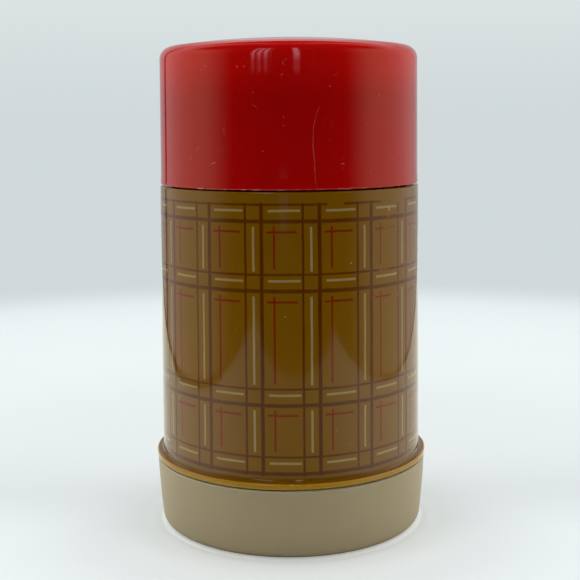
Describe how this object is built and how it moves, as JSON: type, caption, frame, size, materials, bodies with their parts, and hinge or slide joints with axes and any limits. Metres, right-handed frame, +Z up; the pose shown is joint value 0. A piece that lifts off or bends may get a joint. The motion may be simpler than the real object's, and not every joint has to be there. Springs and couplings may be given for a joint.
{
  "type": "vacuum flask",
  "caption": "Wide-mouth vacuum flask with a screw-on cup, a screw stopper, a plaid-printed moulded jacket over a double-walled glass filler, and a screw-on base.",
  "frame": {"origin": "centre of the foot, on the plane the flask stands on", "axes": "+Z up along the flask's axis, -Y towards the front, +X to the right seen from the front"},
  "size_m": [0.103, 0.103, 0.181],
  "materials": {
    "base_plastic": "satin moulded plastic, tan",
    "seal_rubber": "soft rubber, dark grey",
    "silvered_glass": "blown glass silvered on the vacuum side",
    "pad_felt": "pressed fibre",
    "band_foam": "foam, cream",
    "jacket_plastic": "glossy moulded plastic, mustard, with a printed plaid",
    "stopper_plastic": "moulded plastic, cream",
    "cup_plastic": "glossy moulded plastic, red"
  },
  "bodies": {
    "base": {"base_cup": "base_plastic", "base_cushion": "seal_rubber", "tip_guard": "seal_rubber", "outer_flask": "silvered_glass", "inner_flask": "silvered_glass", "spacer_pads": "pad_felt", "centring_band": "band_foam"},
    "neck_seal": {"neck_seal": "seal_rubber"},
    "jacket": {"jacket": "jacket_plastic"},
    "stopper_core": {"stopper_insulation": "band_foam"},
    "stopper": {"stopper_body": "stopper_plastic", "stopper_top": "stopper_plastic", "stopper_gasket": "seal_rubber"},
    "cup_core": {"cup_insulation": "band_foam"},
    "cup": {"cup_shell": "cup_plastic", "cup_liner": "cup_plastic"}
  },
  "joints": [
    {"name": "jacket_rise", "type": "slide", "parent": "base", "child": "neck_seal", "axis": [0, 0, 1], "range_m": [0, 0.1501]},
    {"name": "jacket_turn", "type": "hinge", "parent": "neck_seal", "child": "jacket", "pos_m": [0, 0, 0], "axis": [0, 0, 1], "range_deg": [0, 4500]},
    {"name": "stopper_rise", "type": "slide", "parent": "jacket", "child": "stopper_core", "axis": [0, 0, 1], "range_m": [0, 0.0401]},
    {"name": "stopper_turn", "type": "hinge", "parent": "stopper_core", "child": "stopper", "pos_m": [0, 0, 0], "axis": [0, 0, 1], "range_deg": [0, 1800]},
    {"name": "cup_rise", "type": "slide", "parent": "stopper", "child": "cup_core", "axis": [0, 0, 1], "range_m": [0, 0.0401]},
    {"name": "cup_turn", "type": "hinge", "parent": "cup_core", "child": "cup", "pos_m": [0, 0, 0], "axis": [0, 0, 1], "range_deg": [0, 1800]}
  ],
  "couplings": [
    {"joint": "jacket_rise", "follows": "jacket_turn", "m_per_rad": 0.0019099},
    {"joint": "stopper_rise", "follows": "stopper_turn", "m_per_rad": 0.0012732},
    {"joint": "cup_rise", "follows": "cup_turn", "m_per_rad": 0.0012732}
  ]
}
